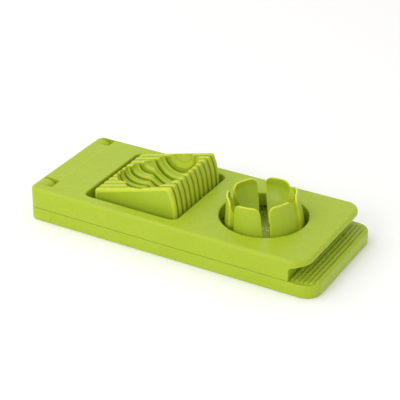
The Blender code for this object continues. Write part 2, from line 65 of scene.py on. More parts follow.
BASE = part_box("base_tray")
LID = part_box("lid_frame")
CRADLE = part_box("slicer_cradle")
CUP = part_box("wedger_cup")
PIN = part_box("hinge_pin")
SLICER_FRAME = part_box("slicer_wire_frame")
WEDGER_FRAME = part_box("wedger_wire_frame")
HINGE = Vector(frame["record"]["behaviour"]["joints"][0]["pos_m"])
BASE_BODY, LID_BODY = "base", "lid"
HINGE_END = BASE[0].x
CUP_X = (CUP[0].x + CUP[1].x) / 2
DECK = LID[0].z - 0.0003


def along(from_hinge):
    """World X of a distance from the base's hinge end."""
    return HINGE_END + from_hinge


class EggSlicerSizes(bpy.types.PropertyGroup):
    """Sizes of the moulded parts that a user would change"""

    wall: FloatProperty(
        name="Wall", description="Thickness of the lid's and the base's walls",
        default=0.0023, min=0.001, unit="LENGTH")
    plate: FloatProperty(
        name="Top Plate", description="Thickness of the lid's top plate and the base's deck",
        default=0.0024, min=0.001, unit="LENGTH")
    soft_edge: FloatProperty(
        name="Outer Edge Radius", description="Radius of the lid's top outer edge",
        default=0.0024, min=0.0002, unit="LENGTH")
    opening_edge: FloatProperty(
        name="Opening Edge Radius", description="Radius of the two openings' top edges",
        default=0.0011, min=0.0002, unit="LENGTH")
    fine_edge: FloatProperty(
        name="Fine Edge Radius", description="Radius of small edges, such as the notches'",
        default=0.0004, min=0.0001, unit="LENGTH")
    rib_edge: FloatProperty(
        name="Rib Edge Radius", description="Radius along both edges of a cradle rib",
        default=0.0012, min=0.0002, unit="LENGTH")
    rib_pitch: FloatProperty(
        name="Rib Pitch", description="Distance from one cradle rib to the next",
        default=0.00572, min=0.003, unit="LENGTH")
    rib_slot: FloatProperty(
        name="Slot Width", description="Width of the slot that a slicing wire runs in",
        default=0.0019, min=0.0008, unit="LENGTH")
    rib_count: IntProperty(
        name="Ribs", description="Number of ribs in the cradle", default=11, min=3, max=15)
    finger_count: IntProperty(
        name="Fingers", description="Number of fingers round the cup", default=6, min=4, max=8)
    finger_gap: FloatProperty(
        name="Finger Gap", description="Width of the gap between two fingers",
        default=0.0054, min=0.002, unit="LENGTH")
    ridge_count: IntProperty(
        name="Grip Ridges", description="Number of ridges across the handle end",
        default=6, min=1, max=6)


class EggSlicerFinish(bpy.types.PropertyGroup):
    """Colours and gloss of the moulded plastic and the steel, and the colour of the painted edge
    highlight
    """

    plastic: FloatVectorProperty(
        name="Plastic", description="Colour of the moulded plastic", subtype="COLOR",
        size=4, min=0, max=1, default=(0.378, 0.490, 0.030, 1.0))
    # Colour of the painted highlight on rounded rims and fine raised lines.
    plastic_highlight_colour: FloatVectorProperty(
        name="Plastic Highlight", description="Colour where light comes through a thin edge",
        subtype="COLOR", size=4, min=0, max=1, default=(0.680, 0.750, 0.050, 1.0))
    plastic_gloss: FloatProperty(
        name="Plastic Roughness", description="Roughness of the moulded plastic",
        default=0.27, min=0, max=1, subtype="FACTOR")
    steel: FloatVectorProperty(
        name="Steel", description="Colour of the wires, screws and pin", subtype="COLOR",
        size=4, min=0, max=1, default=(0.66, 0.66, 0.65, 1.0))
    floor: FloatVectorProperty(
        name="Floor", description="Colour of the studio floor", subtype="COLOR",
        size=4, min=0, max=1, default=(0.93, 0.925, 0.905, 1.0))


class EggSlicerStudio(bpy.types.PropertyGroup):
    """Camera and lights"""

    azimuth: FloatProperty(
        name="Azimuth", description="Camera's turn round the object",
        default=math.radians(29.558), subtype="ANGLE")
    elevation: FloatProperty(
        name="Elevation", description="Camera's height above the horizon",
        default=math.radians(29.04), subtype="ANGLE")
    distance: FloatProperty(
        name="Distance", description="Camera's distance from its target",
        default=0.95206, unit="LENGTH")
    lens: FloatProperty(name="Focal Length", description="Camera's focal length", default=126.95)
    sky: FloatProperty(name="Sky", description="Strength of the even white light", default=0.88)
    key: FloatProperty(
        name="Key Light", description="Power of the main soft light", default=2.4, unit="POWER")
    fill: FloatProperty(
        name="Fill Light", description="Power of the front soft light", default=3.6, unit="POWER")


class EggSlicerSettings(bpy.types.PropertyGroup):
    """All the settings of the egg slicer"""

    sizes: PointerProperty(type=EggSlicerSizes)
    finish: PointerProperty(type=EggSlicerFinish)
    studio: PointerProperty(type=EggSlicerStudio)


# Outlines

def arc(centre, radius, start, end, steps):
    """Points on an arc; the radius may be a pair for an ellipse, and angles are in degrees."""
    across, up = radius if isinstance(radius, tuple) else (radius, radius)
    angles = [math.radians(start + (end - start) * i / steps) for i in range(steps + 1)]
    return [(centre[0] + across * math.cos(a), centre[1] + up * math.sin(a)) for a in angles]


def rounded_outline(low, high, low_radius, high_radius, steps=8):
    """Rectangle with rounded corners: one radius at the low X end, one at the high X end."""
    low_across, low_up = low_radius if isinstance(low_radius, tuple) else (low_radius,) * 2
    high_across, high_up = high_radius if isinstance(high_radius, tuple) else (high_radius,) * 2
    corners = (
        (high[0] - high_across, high[1] - high_up, (high_across, high_up), 0),
        (low[0] + low_across, high[1] - low_up, (low_across, low_up), 90),
        (low[0] + low_across, low[1] + low_up, (low_across, low_up), 180),
        (high[0] - high_across, low[1] + high_up, (high_across, high_up), 270),
    )
    points = []
    for x, y, radius, start in corners:
        points += arc((x, y), radius, start, start + 90, steps)
    return points


# Solids as bmeshes

def swept(points, direction):
    """Closed solid made by extruding a flat outline of 3D points."""
    bm = bmesh.new()
    face = bm.faces.new([bm.verts.new(point) for point in points])
    moved = bmesh.ops.extrude_face_region(bm, geom=[face])["geom"]
    bmesh.ops.translate(
        bm, vec=direction, verts=[v for v in moved if isinstance(v, bmesh.types.BMVert)])
    bmesh.ops.recalc_face_normals(bm, faces=bm.faces)
    return bm


def plate(outline, bottom, top):
    return swept([(x, y, bottom) for x, y in outline], (0, 0, top - bottom))


def profile(outline, low_y, high_y):
    return swept([(x, low_y, z) for x, z in outline], (0, high_y - low_y, 0))


def block(low, high, radius=0.0, segments=3):
    """Box between two corners, with all edges rounded if a radius is given."""
    low, high = Vector(low), Vector(high)
    bm = bmesh.new()
    bmesh.ops.create_cube(bm, size=1)
    bmesh.ops.scale(bm, vec=high - low, verts=bm.verts)
    bmesh.ops.translate(bm, vec=(low + high) / 2, verts=bm.verts)
    if radius:
        round_edges(bm, bm.edges[:], radius, segments)
    return bm


def rod(radius, start, end, sides=32):
    """Round bar between two points."""
    start, end = Vector(start), Vector(end)
    turn = (end - start).to_track_quat("Z", "Y").to_matrix().to_4x4()
    bm = bmesh.new()
    bmesh.ops.create_cone(
        bm, cap_ends=True, segments=sides, radius1=radius, radius2=radius,
        depth=(end - start).length, matrix=Matrix.Translation((start + end) / 2) @ turn)
    return bm


def turned(points, centre, sides=64):
    """Solid of revolution about Z from (radius, height) points that begin and end on the axis."""
    bm = bmesh.new()
    verts = [bm.verts.new((centre[0] + r, centre[1], centre[2] + z)) for r, z in points]
    edges = [bm.edges.new(pair) for pair in zip(verts, verts[1:])]
    bmesh.ops.spin(
        bm, geom=verts + edges, cent=centre, axis=(0, 0, 1), steps=sides,
        angle=math.tau, use_merge=True)
    bmesh.ops.remove_doubles(bm, verts=bm.verts, dist=1e-7)
    bmesh.ops.recalc_face_normals(bm, faces=bm.faces)
    return bm


def loft(rings, highlight_shares):
    """Closed solid through rings of points; each band has its share of painted highlight."""
    bm = bmesh.new()
    highlight_amount = bm.faces.layers.float.new("painted_highlight")
    rings = [[bm.verts.new(point) for point in ring] for ring in rings]
    for near, far, share in zip(rings, rings[1:], highlight_shares):
        for i, vert in enumerate(near):
            follow = (i + 1) % len(near)
            face = bm.faces.new((vert, near[follow], far[follow], far[i]))
            face[highlight_amount] = share
    bm.faces.new(rings[0])
    bm.faces.new(rings[-1])
    bmesh.ops.recalc_face_normals(bm, faces=bm.faces)
    return bm


def round_edges(bm, edges, radius, segments=3, highlight_share=0.0):
    """Round edges off and mark how much painted highlight the new faces get."""
    highlight_amount = bm.faces.layers.float.get("painted_highlight") or bm.faces.layers.float.new("painted_highlight")
    made = bmesh.ops.bevel(
        bm, geom=edges, offset=radius, offset_type="OFFSET", segments=segments, profile=0.5,
        affect="EDGES", clamp_overlap=True, material=-1)
    for face in made["faces"]:
        face[highlight_amount] = highlight_share


def paint_highlight(bm, share):
    """Mark a whole thin solid with one share of painted highlight."""
    highlight_amount = bm.faces.layers.float.new("painted_highlight")
    for face in bm.faces:
        face[highlight_amount] = share
    return bm


def sharp_edges(bm, keep, angle=35):
    """Edges that fold by more than an angle and whose two ends pass a test."""
    limit = math.radians(angle)
    return [edge for edge in bm.edges
            if len(edge.link_faces) == 2 and edge.calc_face_angle(0) > limit
            and all(keep(vert.co) for vert in edge.verts)]


def to_object(name, bm):
    mesh = bpy.data.meshes.new(name)
    bm.to_mesh(mesh)
    bm.free()
    piece = bpy.data.objects.new(name, mesh)
    bpy.context.scene.collection.objects.link(piece)
    return piece


def combine(target, tools, kind):
    """Apply a Boolean with each tool to the target, and return the result as a bmesh."""
    if not target.faces.layers.float.get("painted_highlight"):
        target.faces.layers.float.new("painted_highlight")
    whole = to_object("combined", target)
    helpers = [to_object("tool", tool) for tool in tools]
    for helper in helpers:
        modifier = whole.modifiers.new("Boolean", "BOOLEAN")
        modifier.operation = kind
        modifier.solver = "EXACT"
        modifier.object = helper
    evaluated = whole.evaluated_get(bpy.context.evaluated_depsgraph_get())
    result = bmesh.new()
    result.from_mesh(evaluated.to_mesh())
    evaluated.to_mesh_clear()
    for item in [whole, *helpers]:
        mesh = item.data
        bpy.data.objects.remove(item)
        bpy.data.meshes.remove(mesh)
    bmesh.ops.remove_doubles(result, verts=result.verts, dist=1e-7)
    bmesh.ops.dissolve_limit(
        result, angle_limit=math.radians(0.5), verts=result.verts, edges=result.edges)
    return result


def cut(target, *tools):
    return combine(target, tools, "DIFFERENCE")


def unite(target, *tools):
    return combine(target, tools, "UNION")


def gather(parts):
    """One bmesh that holds several closed solids."""
    whole = bmesh.new()
    whole.faces.layers.float.new("painted_highlight")
    for part in parts:
        mesh = bpy.data.meshes.new("part")
        part.to_mesh(mesh)
        part.free()
        whole.from_mesh(mesh)
        bpy.data.meshes.remove(mesh)
    return whole


def finish_piece(name, bm, body, material, slot, *nodes):
    """Turn a bmesh into a finished piece that rides on a body and stands for CAD nodes."""
    piece = to_object(name, bm)
    piece.data.shade_smooth()
    piece.data.set_sharp_from_angle(angle=math.radians(38))
    weighted = piece.modifiers.new("Weighted Normals", "WEIGHTED_NORMAL")
    weighted.keep_sharp = True
    piece.data.materials.clear()
    piece.data.materials.append(material)
    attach(piece, body)
    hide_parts(*nodes)
    return piece


# Materials

def new_group(name, inputs, outputs):
    """Shader node group with named sockets: (name, socket type, default)."""
    group = bpy.data.node_groups.new(name, "ShaderNodeTree")
    for label, kind, default in inputs:
        socket = group.interface.new_socket(label, in_out="INPUT", socket_type=kind)
        socket.default_value = default
    for label, kind in outputs:
        group.interface.new_socket(label, in_out="OUTPUT", socket_type=kind)
    source = group.nodes.new("NodeGroupInput")
    target = group.nodes.new("NodeGroupOutput")
    return group, source, target


def noise(tree, vector, scale, detail=3.0, roughness=0.5):
    node = tree.nodes.new("ShaderNodeTexNoise")
    node.inputs["Scale"].default_value = scale
    node.inputs["Detail"].default_value = detail
    node.inputs["Roughness"].default_value = roughness
    tree.links.new(vector, node.inputs["Vector"])
    return node.outputs["Fac"]


def spread(tree, value, low, high, to_low=0.0, to_high=1.0):
    """Map a range of a value on to another range, with its ends clamped."""
    node = tree.nodes.new("ShaderNodeMapRange")
    for label, number in (("From Min", low), ("From Max", high), ("To Min", to_low),
                          ("To Max", to_high)):
        node.inputs[label].default_value = number
    tree.links.new(value, node.inputs["Value"])
    return node.outputs["Result"]


def calculate(tree, operation, first, second):
    """Math node; each operand is a socket or a number."""
    node = tree.nodes.new("ShaderNodeMath")
    node.operation = operation
    for index, operand in enumerate((first, second)):
        if isinstance(operand, (int, float)):
            node.inputs[index].default_value = operand
        else:
            tree.links.new(operand, node.inputs[index])
    return node.outputs["Value"]


def blend_colour(tree, factor, first, second):
    node = tree.nodes.new("ShaderNodeMix")
    node.data_type = "RGBA"
    tree.links.new(factor, node.inputs["Factor"])
    tree.links.new(first, node.inputs["A"])
    tree.links.new(second, node.inputs["B"])
    return node.outputs["Result"]


def shade(tree, colour, value, saturation=1.0):
    """The colour with its value and saturation scaled."""
    node = tree.nodes.new("ShaderNodeHueSaturation")
    node.inputs["Value"].default_value = value
    node.inputs["Saturation"].default_value = saturation
    tree.links.new(colour, node.inputs["Color"])
    return node.outputs["Color"]


def moulded_group():
    """Tint drift, flow marks, handling scuffs and fine mould grain of injection-moulded plastic, with a
    painted highlight on rounded rims and fine lines.
    """
    # Highlight Color and Edge carry the painted highlight on rounded rims and fine lines.
    group, source, target = new_group(
        "Moulded Plastic Surface",
        (("Color", "NodeSocketColor", (0.4, 0.5, 0.02, 1)),
         ("Edge Color", "NodeSocketColor", (0.5, 0.6, 0.02, 1)),
         ("Edge", "NodeSocketFloat", 0.0),
         ("Gloss Roughness", "NodeSocketFloat", 0.3),
         ("Scuffing", "NodeSocketFloat", 0.3)),
        (("Color", "NodeSocketColor"), ("Roughness", "NodeSocketFloat"),
         ("Height", "NodeSocketFloat")))
    nodes, links = group.nodes, group.links
    place = nodes.new("ShaderNodeTexCoord").outputs["Object"]
    flow = nodes.new("ShaderNodeMapping")
    flow.inputs["Scale"].default_value = (0.35, 1.6, 1.0)
    links.new(place, flow.inputs["Vector"])
    drift = spread(group, noise(group, place, 22, 2), 0.35, 0.65)
    streak = spread(group, noise(group, flow.outputs["Vector"], 90, 4), 0.4, 0.7)
    scuff_map = nodes.new("ShaderNodeMapping")
    scuff_map.inputs["Scale"].default_value = (1.0, 0.08, 1.0)
    scuff_map.inputs["Rotation"].default_value = (0, 0, math.radians(34))
    links.new(place, scuff_map.inputs["Vector"])
    scratch = spread(
        group, noise(group, scuff_map.outputs["Vector"], 900, 2), 0.66, 0.78)
    patch = spread(group, noise(group, place, 38, 3), 0.48, 0.68)
    scuff = calculate(group, "MULTIPLY", scratch, patch)
    scuff = calculate(group, "MULTIPLY", scuff, source.outputs["Scuffing"])
    grain = noise(group, place, 2600, 2, 0.6)
    ripple = noise(group, flow.outputs["Vector"], 160, 2)

    deep = shade(group, source.outputs["Color"], 0.955, 1.02)
    tone = calculate(group, "MULTIPLY", drift, 0.6)
    tone = calculate(group, "ADD", tone, calculate(group, "MULTIPLY", streak, 0.4))
    body = blend_colour(group, tone, source.outputs["Color"], deep)
    # Painted highlight: the Edge amount, varied by noise, mixes the Highlight Color into rounded rims
    # and fine lines.
    highlight_amount = calculate(
        group, "MULTIPLY", source.outputs["Edge"],
        spread(group, noise(group, place, 300, 3), 0.2, 0.6, 0.55, 0.95))
    rim = blend_colour(group, highlight_amount, body, source.outputs["Edge Color"])
    worn = blend_colour(group, scuff, rim, shade(group, rim, 1.12, 0.86))
    links.new(worn, target.inputs["Color"])

    rough = calculate(
        group, "ADD", source.outputs["Gloss Roughness"],
        spread(group, noise(group, place, 60, 4), 0.3, 0.7, -0.03, 0.05))
    rough = calculate(group, "ADD", rough,
                      calculate(group, "MULTIPLY", scuff, 0.22))
    links.new(rough, target.inputs["Roughness"])
    height = calculate(group, "MULTIPLY", grain, 0.35)
    height = calculate(group, "ADD", height, ripple)
    height = calculate(group, "SUBTRACT", height,
                       calculate(group, "MULTIPLY", scuff, 0.8))
    links.new(height, target.inputs["Height"])
    return group


def steel_group():
    """Draw marks, cloudy tone and small scratches of bare steel."""
    group, source, target = new_group(
        "Drawn Steel Surface",
        (("Color", "NodeSocketColor", (0.6, 0.6, 0.6, 1)),
         ("Gloss Roughness", "NodeSocketFloat", 0.25),
         ("Mark Scale", "NodeSocketFloat", 900.0)),
        (("Color", "NodeSocketColor"), ("Roughness", "NodeSocketFloat"),
         ("Height", "NodeSocketFloat")))
    nodes, links = group.nodes, group.links
    place = nodes.new("ShaderNodeTexCoord").outputs["Object"]
    marks = nodes.new("ShaderNodeTexNoise")
    marks.inputs["Detail"].default_value = 3
    links.new(place, marks.inputs["Vector"])
    links.new(source.outputs["Mark Scale"], marks.inputs["Scale"])
    cloud = spread(group, noise(group, place, 240, 2), 0.35, 0.65)
    dark = shade(group, source.outputs["Color"], 0.82)
    links.new(blend_colour(group, cloud, source.outputs["Color"], dark), target.inputs["Color"])
    rough = calculate(group, "ADD", source.outputs["Gloss Roughness"],
                      spread(group, marks.outputs["Fac"], 0.3, 0.7, -0.06, 0.12))
    links.new(rough, target.inputs["Roughness"])
    links.new(marks.outputs["Fac"], target.inputs["Height"])
    return group


def surface_material(name, group, values, painted_highlight, bump, **constants):
    """Principled material fed by a surface group; constants go on the shader's own sockets."""
    material = bpy.data.materials.new(name)
    material.use_nodes = True
    nodes, links = material.node_tree.nodes, material.node_tree.links
    shader = nodes["Principled BSDF"]
    for label, value in constants.items():
        shader.inputs[label.replace("_", " ")].default_value = value
    surface = nodes.new("ShaderNodeGroup")
    surface.node_tree = group
    for label, value in values.items():
        surface.inputs[label].default_value = value
    # Each face's painted highlight amount is read from its attribute.
    if painted_highlight:
        edge = nodes.new("ShaderNodeAttribute")
        edge.attribute_type = "GEOMETRY"
        edge.attribute_name = "painted_highlight"
        links.new(edge.outputs["Fac"], surface.inputs["Edge"])
    relief = nodes.new("ShaderNodeBump")
    relief.inputs["Strength"].default_value = bump[0]
    relief.inputs["Distance"].default_value = bump[1]
    links.new(surface.outputs["Color"], shader.inputs["Base Color"])
    links.new(surface.outputs["Roughness"], shader.inputs["Roughness"])
    links.new(surface.outputs["Height"], relief.inputs["Height"])
    links.new(relief.outputs["Normal"], shader.inputs["Normal"])
    return material


def node_group(name, build):
    return bpy.data.node_groups.get(name) or build()


def plastic_material(name, scuffing):
    """Lime moulded plastic; each part has its own amount of scuffing."""
    finish = bpy.context.scene.egg_slicer.finish
    if name in bpy.data.materials:
        return bpy.data.materials[name]
    # Highlight Color is the colour of the painted edge highlight.
    values = {
        "Color": finish.plastic, "Edge Color": finish.plastic_highlight_colour,
        "Gloss Roughness": finish.plastic_gloss, "Scuffing": scuffing}
    return surface_material(
        name, node_group("Moulded Plastic Surface", moulded_group), values, True,
        (0.12, 0.00012), IOR=1.46, Specular_IOR_Level=0.26,
        Subsurface_Weight=0.20, Subsurface_Scale=0.004)


def steel_material(name, roughness, mark_scale):
    finish = bpy.context.scene.egg_slicer.finish
    if name in bpy.data.materials:
        return bpy.data.materials[name]
    values = {"Color": finish.steel, "Gloss Roughness": roughness, "Mark Scale": mark_scale}
    return surface_material(
        name, node_group("Drawn Steel Surface", steel_group), values, False,
        (0.2, 0.00003), Metallic=1.0)


# Base moulding

BASE_CORNERS = (0.0060, 0.0110)
NOTCHES = ((-0.0380, -0.0268), (0.0334, 0.0429))
NOTCH_END = 0.0142
LUG_RADIUS = 0.0099
LUG_TOP = 0.0233
LUG_GAP = 0.0004
PIN_CLEARANCE = 0.0003
RIDGE_FIRST = 0.1989
RIDGE_PITCH = 0.00302
RIDGE_SIZE = (0.0029, 0.0009)
RIDGE_HALF = 0.0425
REACH = 0.0010
CUP_SCREWS = tuple(f"cup_screw_{i}" for i in (1, 2, 3))
CRADLE_SCREWS, SLICER_FRAME_SCREWS, WEDGER_FRAME_SCREWS = (
    tuple(f"{place}_screw_{i}" for i in (1, 2, 3, 4))
    for place in ("cradle", "slicer_frame", "wedger_frame"))
UNDER_RIB_Y = 0.0194
SCREW_BOSS = 0.0029
SCREW_HOLE = 0.0013


def middle_of(node):
    low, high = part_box(node)
    return (low + high) / 2


def pin_bore():
    middle = middle_of("hinge_pin")
    radius = (PIN[1].z - PIN[0].z) / 2 + PIN_CLEARANCE
    return rod(radius, (middle.x, PIN[0].y - PIN_CLEARANCE, middle.z),
               (middle.x, PIN[1].y + REACH, middle.z))


def screw_holes(nodes, bottom, above):
    """Solids of the screws' holes, from a height to a little above each screw's tip."""
    holes = []
    for node in nodes:
        x, y, _ = middle_of(node)
        holes.append(rod(SCREW_HOLE, (x, y, bottom), (x, y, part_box(node)[1].z + above), 16))
    return holes


def hinge_lug(span, sizes):
    """Lug that is flat on the hinge side and rounds down about the hinge axis."""
    left = along(LUG_GAP)
    flat = math.degrees(math.asin(min(1, (LUG_TOP - HINGE.z) / LUG_RADIUS)))
    outline = [(left, DECK - REACH), (HINGE.x + LUG_RADIUS, DECK - REACH)]
    outline += arc((HINGE.x, HINGE.z), LUG_RADIUS, 0, flat, 18) + [(left, LUG_TOP)]
    lug = profile(outline, span[0] + LUG_GAP, span[1] - LUG_GAP)
    low, high = span[0] + LUG_GAP, span[1] - LUG_GAP
    sides = [edge for edge in lug.edges
             if edge.calc_face_angle(0) > math.radians(60)
             and max(v.co.z for v in edge.verts) > DECK
             and (abs(edge.verts[0].co.y - edge.verts[1].co.y) < REACH / 10
                  or min(v.co.z for v in edge.verts) > LUG_TOP - REACH / 10)]
    round_edges(lug, sides, sizes.fine_edge * 1.3, 3)
    return lug


def grip_ridge(index):
    """Low round ridge that runs down into the deck at its ends, inside the base's corners."""
    x = along(RIDGE_FIRST + index * RIDGE_PITCH)
    width, height = RIDGE_SIZE
    radius = BASE_CORNERS[1]
    past = max(0.0, x - (BASE[1].x - radius))
    half = RIDGE_HALF - radius + math.sqrt(radius ** 2 - past ** 2)
    crest = [(math.cos(a), math.sin(a)) for a in (math.pi * i / 12 for i in range(13))]
    rings = []
    for side in (-1, 1):
        for step in range(4):
            inward = (step if side < 0 else 3 - step) / 3
            scale = math.sqrt(1 - (1 - inward) ** 2) * 0.96 + 0.04
            y = side * (half - width * 0.8 * inward)
            ring = [(x + width / 2 * c, y, DECK + height * scale * h) for c, h in crest]
            rings.append(ring + [(x - width / 2, y, DECK - REACH), (x + width / 2, y, DECK - REACH)])
    return loft(rings, [0.0] * len(rings))


def under_hollow(sizes):
    """Hollow below the deck, with the ribs and the screw bosses left standing in it."""
    wall, ceiling = sizes.wall, DECK - sizes.plate
    low = (BASE[0].x + wall, BASE[0].y + wall)
    high = (BASE[1].x - wall, BASE[1].y - wall)
    corners = [radius - wall for radius in BASE_CORNERS]
    hollow = plate(rounded_outline(low, high, *corners), -REACH, ceiling)
    ribs = []
    half_rib, rib_bottom = 0.0008, 0.0010
    for side in (-1, 1):
        y = side * UNDER_RIB_Y
        ribs.append(block((low[0] - REACH, y - half_rib, rib_bottom),
                          (high[0] + REACH, y + half_rib, ceiling + REACH)))
    for column in (1, 2, 3):
        x = low[0] + (high[0] - low[0]) * column / 4
        ribs.append(block((x - half_rib, low[1] - REACH, rib_bottom),
                          (x + half_rib, high[1] + REACH, ceiling + REACH)))
    for node in CRADLE_SCREWS + CUP_SCREWS:
        x, y, _ = middle_of(node)
        ribs.append(rod(SCREW_BOSS, (x, y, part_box(node)[0].z + 0.0014), (x, y, ceiling + REACH)))
    return cut(hollow, *ribs)


class EGGSLICER_OT_base_moulding(bpy.types.Operator):
    """Build the base: deck, ridged grip, hinge lugs and the ribbed hollow underneath"""

    bl_idname = "egg_slicer.base_moulding"
    bl_label = "Base Moulding"

    def execute(self, context):
        sizes = context.scene.egg_slicer.sizes
        outline = rounded_outline(BASE[0], BASE[1], *BASE_CORNERS, 12)
        base = plate(outline, 0, DECK)
        round_edges(base, sharp_edges(base, lambda co: co.z < REACH), 0.0008, 3)
        round_edges(base, sharp_edges(base, lambda co: co.z > DECK - REACH / 10), 0.0007, 3)
        base = cut(base, under_hollow(sizes))
        holes = screw_holes(CRADLE_SCREWS + CUP_SCREWS, 0, REACH)
        for side in (-1, 1):
            x, y = along(0.0172), side * BASE[1].y
            holes.append(block((x - 0.00012, y - 0.0002, 0.0009),
                               (x + 0.00012, y + 0.0002, DECK + REACH)))
        base = cut(base, *holes)
        lugs = [hinge_lug(span, sizes) for span in NOTCHES]
        ridges = [grip_ridge(i) for i in range(sizes.ridge_count)]
        base = unite(base, *lugs, *ridges)
        base = cut(base, pin_bore())
        finish_piece("base_moulding", base, BASE_BODY, plastic_material("Lime Plastic Base", 0.5),
                     "lime_plastic", "base_tray")
        return {"FINISHED"}


# Lid moulding

LIP_CORNER = (0.0105, 0.0125)
LIP_END = 0.2087
LIP_UNDER = 0.0010
LIP_THICKNESS = 0.0035
WALL_END = (0.2006, 0.1973)
STRIP_LINE = (0.0134, 0.0003)
EDGE_LINE = (0.1500, 0.1993, 0.0018)
SQUARE_OPENING = (0.0388, 0.1103)
SQUARE_HALF = 0.0357
SQUARE_CORNER = 0.0050
ROUND_OPENING = 0.0296
ROUND_X = 0.1572
RIM_WALL = 0.0020
LID_CORNER = 0.0040
HOLLOW_START = 0.0169
CROSS_WALL = (0.1949, 0.1967)
MIDDLE_RIB = (0.1180, 0.1194)
SQUARE_RIM_BOTTOM = 0.01295
ROUND_RIM_BOTTOM = 0.01435


def square_window(margin, bottom, top, steps=8):
    low = (along(SQUARE_OPENING[0]) - margin, -SQUARE_HALF - margin)
    high = (along(SQUARE_OPENING[1]) + margin, SQUARE_HALF + margin)
    radius = SQUARE_CORNER + margin
    return plate(rounded_outline(low, high, radius, radius, steps), bottom, top)


def round_window(margin, bottom, top, sides=96):
    x = along(ROUND_X)
    return rod(ROUND_OPENING + margin, (x, 0, bottom), (x, 0, top), sides)


def lid_hollow(sizes):
    """Space under the lid's plate, round the openings' rims and the screw bosses."""
    ceiling = LID[1].z - sizes.plate
    low = (along(HOLLOW_START), LID[0].y + sizes.wall)
    high = (along(CROSS_WALL[0]), LID[1].y - sizes.wall)
    hollow = plate(rounded_outline(low, high, 0.002, 0.002, 4), LID[0].z - REACH, ceiling)
    above = ceiling + REACH
    standing = [square_window(RIM_WALL, SQUARE_RIM_BOTTOM, above),
                round_window(RIM_WALL, ROUND_RIM_BOTTOM, above),
                block((along(MIDDLE_RIB[0]), low[1] - REACH, SLICER_FRAME[1].z),
                      (along(MIDDLE_RIB[1]), high[1] + REACH, above))]
    for node in SLICER_FRAME_SCREWS + WEDGER_FRAME_SCREWS:
        x, y, _ = middle_of(node)
        standing.append(rod(SCREW_BOSS, (x, y, SLICER_FRAME[1].z + 0.0003), (x, y, above), 24))
    return cut(hollow, *standing)


def strip_hollow(sizes):
    """Pocket under the strip between the notches, with two webs round the pin."""
    low, high = along(0.0022), along(0.0124)
    ceiling = LID[1].z - sizes.plate
    pocket = block((low, NOTCHES[0][1] + sizes.wall, LID[0].z - REACH),
                   (high, NOTCHES[1][0] - sizes.wall, ceiling))
    webs = [block((low - REACH, y - 0.001, LID[0].z - 2 * REACH),
                  (high + REACH, y + 0.001, ceiling + REACH)) for y in (-0.007, 0.012)]
    return cut(pocket, *webs)


def lid_shell(sizes):
    """Solid lid with its hollows, lip, hinge notches and openings cut out."""
    top, bottom = LID[1].z, LID[0].z
    below, over = bottom - REACH, top + REACH
    high = (along(LIP_END), LID[1].y)
    outline = rounded_outline(LID[0], high, 0.0056, LIP_CORNER, 14)
    lid = plate(outline, bottom, top)
    round_edges(lid, sharp_edges(lid, lambda co: co.z > top - REACH / 10), sizes.soft_edge, 5)
    half = LID[1].y + REACH
    lip = top - LIP_THICKNESS
    wall_top, wall_bottom = (along(x) for x in WALL_END)
    arch = [(wall_bottom, below), (wall_bottom, lip - 0.0052)]
    arch += arc((wall_top, lip - 0.0042), (wall_top - wall_bottom, 0.0032), 180, 90, 8)
    arch += [(wall_top + 0.0036, lip), (BASE[1].x, lip), (BASE[1].x, below)]
    behind = block((along(CROSS_WALL[1]), LID[0].y + sizes.wall, below - REACH),
                   (BASE[1].x, LID[1].y - sizes.wall, lip), 0.0018, 4)
    corner = arc((HINGE.x, HINGE.z), LID_CORNER, 180, 270, 14)
    corner += [(HINGE.x, below), (along(-REACH), below), (along(-REACH), HINGE.z)]
    tools = [profile(arch, -half, half), behind, profile(corner, -half, half),
             lid_hollow(sizes), strip_hollow(sizes),
             square_window(0, below, over), round_window(0, below, over)]
    for low_y, high_y in NOTCHES:
        tools.append(block((along(-REACH), low_y, below), (along(NOTCH_END), high_y, over)))
    return cut(lid, *tools)


def raised_highlight_lines(sizes):
    """Fine raised lines with a painted highlight: across the lid at the notches, and along the near edge
    to the lip.
    """
    top, rise = LID[1].z, STRIP_LINE[1]
    x = along(STRIP_LINE[0])
    across = rod(rise, (x, NOTCHES[0][1] - REACH, top - rise / 2),
                 (x, NOTCHES[1][0] + REACH, top - rise / 2), 16)
    across = paint_highlight(across, 0.55)
    low, high, inset = EDGE_LINE
    drop = sizes.soft_edge - math.sqrt(sizes.soft_edge ** 2 - (sizes.soft_edge - inset) ** 2)
    lines = [across]
    for side in (-1, 1):
        y, z = side * (LID[1].y - inset), top - drop - rise / 2
        line = rod(rise * 0.8, (along(low), y, z - rise), (along(high), y, z), 16)
        lines.append(paint_highlight(line, 0.35))
    return lines


def is_window_edge(co, margin=0.0002):
    """True on the outline of either opening."""
    round_gap = abs(math.hypot(co.x - along(ROUND_X), co.y) - ROUND_OPENING)
    low, high = along(SQUARE_OPENING[0]), along(SQUARE_OPENING[1])
    inside = (low - margin < co.x < high + margin and abs(co.y) < SQUARE_HALF + margin)
    inner = (low + SQUARE_CORNER < co.x < high - SQUARE_CORNER
             and abs(co.y) < SQUARE_HALF - SQUARE_CORNER)
    return round_gap < margin or (inside and not inner)


